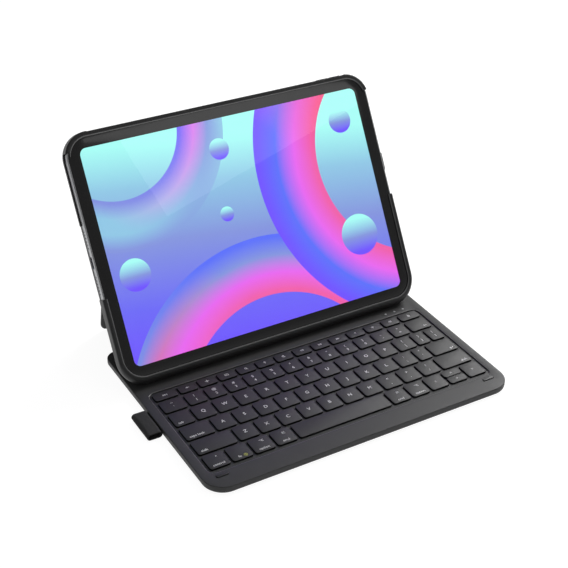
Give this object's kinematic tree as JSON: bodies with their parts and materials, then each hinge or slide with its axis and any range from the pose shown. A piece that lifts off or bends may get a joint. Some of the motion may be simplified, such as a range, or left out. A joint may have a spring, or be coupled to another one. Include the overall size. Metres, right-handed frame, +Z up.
{
  "type": "tablet keyboard case",
  "caption": "Slim keyboard base with a pen loop, and a tablet shell that tilts at its lower edge and leans on a folding kickstand.",
  "frame": {"origin": "centre of the keyboard base's flat underside, on the table", "axes": "+X to the typist's right, +Y rearwards, +Z up"},
  "size_m": [0.2577, 0.2213, 0.1663],
  "materials": {
    "base_plastic": "satin grain",
    "cover_plastic": "satin",
    "key_plastic": "satin with printed white legends",
    "soft_rubber": "matte moulded rubber",
    "elastic": "woven elastic",
    "suede": "short soft nap",
    "steel": "brushed",
    "magnet_metal": "plated",
    "tablet_aluminium": "bead blasted",
    "cover_glass": "polished, dark round the edge",
    "display_panel": "lit picture",
    "board_green": "solder mask",
    "cell_wrap": "foil wrap",
    "film": "clear film",
    "dome_rubber": "silicone",
    "light_pipe": "clear",
    "ring_metal": "anodised",
    "lens_glass": "polished"
  },
  "bodies": {
    "base": {"base_top_cover": "base_plastic", "base_bottom_cover": "cover_plastic", "key_plate": "steel", "key_membrane": "film", "key_domes": "dome_rubber", "key_ribbon": "film", "battery_cells": "cell_wrap", "circuit_board": "board_green", "usb_c_port": "steel", "switch_housing": "steel", "indicator_lights": "light_pipe", "front_bumpers": "soft_rubber", "typing_magnets": "magnet_metal", "closing_magnets": "magnet_metal", "base_screws": "steel", "pen_loop": "elastic", "pen_loop_anchor": "steel"},
    "dock": {"docking_rail": "soft_rubber", "rail_magnets": "magnet_metal"},
    "shell": {"shell_frame": "soft_rubber", "back_panel": "base_plastic", "inner_lining": "suede", "camera_ring": "ring_metal", "shell_magnets": "magnet_metal", "catch_magnets": "magnet_metal", "hinge_leaves": "steel", "hinge_pins": "steel", "tablet_housing": "tablet_aluminium", "tablet_display": "display_panel", "tablet_glass": "cover_glass", "tablet_camera": "lens_glass"},
    "kickstand": {"kickstand_plate": "base_plastic", "kickstand_foot": "soft_rubber", "kickstand_magnets": "magnet_metal"},
    "escape_key_body": {"escape_key": "key_plastic"},
    "function_keys_body": {"function_keys": "key_plastic"},
    "number_keys_body": {"number_keys": "key_plastic"},
    "backspace_key_body": {"backspace_key": "key_plastic"},
    "tab_key_body": {"tab_key": "key_plastic"},
    "upper_letter_keys_body": {"upper_letter_keys": "key_plastic"},
    "caps_lock_key_body": {"caps_lock_key": "key_plastic"},
    "home_letter_keys_body": {"home_letter_keys": "key_plastic"},
    "enter_key_body": {"enter_key": "key_plastic"},
    "left_shift_key_body": {"left_shift_key": "key_plastic"},
    "lower_letter_keys_body": {"lower_letter_keys": "key_plastic"},
    "right_shift_key_body": {"right_shift_key": "key_plastic"},
    "modifier_keys_body": {"modifier_keys": "key_plastic"},
    "space_key_body": {"space_key": "key_plastic"},
    "left_arrow_key_body": {"left_arrow_key": "key_plastic"},
    "up_arrow_key_body": {"up_arrow_key": "key_plastic"},
    "down_arrow_key_body": {"down_arrow_key": "key_plastic"},
    "right_arrow_key_body": {"right_arrow_key": "key_plastic"},
    "power_switch_body": {"power_switch": "cover_plastic"},
    "volume_up_cover_body": {"volume_up_cover": "soft_rubber"},
    "volume_down_cover_body": {"volume_down_cover": "soft_rubber"},
    "power_button_cover_body": {"power_button_cover": "soft_rubber"}
  },
  "joints": [
    {"name": "dock_slide", "type": "slide", "parent": "base", "child": "dock", "axis": [0, 1, 0], "range_m": [0, 0.0421]},
    {"name": "shell_tilt", "type": "hinge", "parent": "dock", "child": "shell", "pos_m": [-0.00235, 0.04005, 0.01105], "axis": [1, 0, 0], "range_deg": [0, 120.7]},
    {"name": "kickstand_fold", "type": "hinge", "parent": "shell", "child": "kickstand", "pos_m": [-0.00235, 0.10211, 0.10823], "axis": [-1, 0, 0], "range_deg": [0, 42]},
    {"name": "escape_key_press", "type": "slide", "parent": "base", "child": "escape_key_body", "axis": [0, 0, -1], "range_m": [0, 0.001], "stiffness_N_per_m": 600},
    {"name": "function_keys_press", "type": "slide", "parent": "base", "child": "function_keys_body", "axis": [0, 0, -1], "range_m": [0, 0.001], "stiffness_N_per_m": 600},
    {"name": "number_keys_press", "type": "slide", "parent": "base", "child": "number_keys_body", "axis": [0, 0, -1], "range_m": [0, 0.001], "stiffness_N_per_m": 600},
    {"name": "backspace_key_press", "type": "slide", "parent": "base", "child": "backspace_key_body", "axis": [0, 0, -1], "range_m": [0, 0.001], "stiffness_N_per_m": 600},
    {"name": "tab_key_press", "type": "slide", "parent": "base", "child": "tab_key_body", "axis": [0, 0, -1], "range_m": [0, 0.001], "stiffness_N_per_m": 600},
    {"name": "upper_letter_keys_press", "type": "slide", "parent": "base", "child": "upper_letter_keys_body", "axis": [0, 0, -1], "range_m": [0, 0.001], "stiffness_N_per_m": 600},
    {"name": "caps_lock_key_press", "type": "slide", "parent": "base", "child": "caps_lock_key_body", "axis": [0, 0, -1], "range_m": [0, 0.001], "stiffness_N_per_m": 600},
    {"name": "home_letter_keys_press", "type": "slide", "parent": "base", "child": "home_letter_keys_body", "axis": [0, 0, -1], "range_m": [0, 0.001], "stiffness_N_per_m": 600},
    {"name": "enter_key_press", "type": "slide", "parent": "base", "child": "enter_key_body", "axis": [0, 0, -1], "range_m": [0, 0.001], "stiffness_N_per_m": 600},
    {"name": "left_shift_key_press", "type": "slide", "parent": "base", "child": "left_shift_key_body", "axis": [0, 0, -1], "range_m": [0, 0.001], "stiffness_N_per_m": 600},
    {"name": "lower_letter_keys_press", "type": "slide", "parent": "base", "child": "lower_letter_keys_body", "axis": [0, 0, -1], "range_m": [0, 0.001], "stiffness_N_per_m": 600},
    {"name": "right_shift_key_press", "type": "slide", "parent": "base", "child": "right_shift_key_body", "axis": [0, 0, -1], "range_m": [0, 0.001], "stiffness_N_per_m": 600},
    {"name": "modifier_keys_press", "type": "slide", "parent": "base", "child": "modifier_keys_body", "axis": [0, 0, -1], "range_m": [0, 0.001], "stiffness_N_per_m": 600},
    {"name": "space_key_press", "type": "slide", "parent": "base", "child": "space_key_body", "axis": [0, 0, -1], "range_m": [0, 0.001], "stiffness_N_per_m": 600},
    {"name": "left_arrow_key_press", "type": "slide", "parent": "base", "child": "left_arrow_key_body", "axis": [0, 0, -1], "range_m": [0, 0.001], "stiffness_N_per_m": 600},
    {"name": "up_arrow_key_press", "type": "slide", "parent": "base", "child": "up_arrow_key_body", "axis": [0, 0, -1], "range_m": [0, 0.001], "stiffness_N_per_m": 600},
    {"name": "down_arrow_key_press", "type": "slide", "parent": "base", "child": "down_arrow_key_body", "axis": [0, 0, -1], "range_m": [0, 0.001], "stiffness_N_per_m": 600},
    {"name": "right_arrow_key_press", "type": "slide", "parent": "base", "child": "right_arrow_key_body", "axis": [0, 0, -1], "range_m": [0, 0.001], "stiffness_N_per_m": 600},
    {"name": "power_switch_slide", "type": "slide", "parent": "base", "child": "power_switch_body", "axis": [0, 1, 0], "range_m": [0, 0.0025]},
    {"name": "volume_up_cover_press", "type": "slide", "parent": "shell", "child": "volume_up_cover_body", "axis": [0, -0.5105, -0.8599], "range_m": [0, 0.0003], "stiffness_N_per_m": 700},
    {"name": "volume_down_cover_press", "type": "slide", "parent": "shell", "child": "volume_down_cover_body", "axis": [0, -0.5105, -0.8599], "range_m": [0, 0.0003], "stiffness_N_per_m": 700},
    {"name": "power_button_cover_press", "type": "slide", "parent": "shell", "child": "power_button_cover_body", "axis": [-1, 0, 0], "range_m": [0, 0.0003], "stiffness_N_per_m": 700}
  ],
  "couplings": [
    {"joint": "kickstand_fold", "follows": "shell_tilt", "ratio": 0.34797}
  ]
}
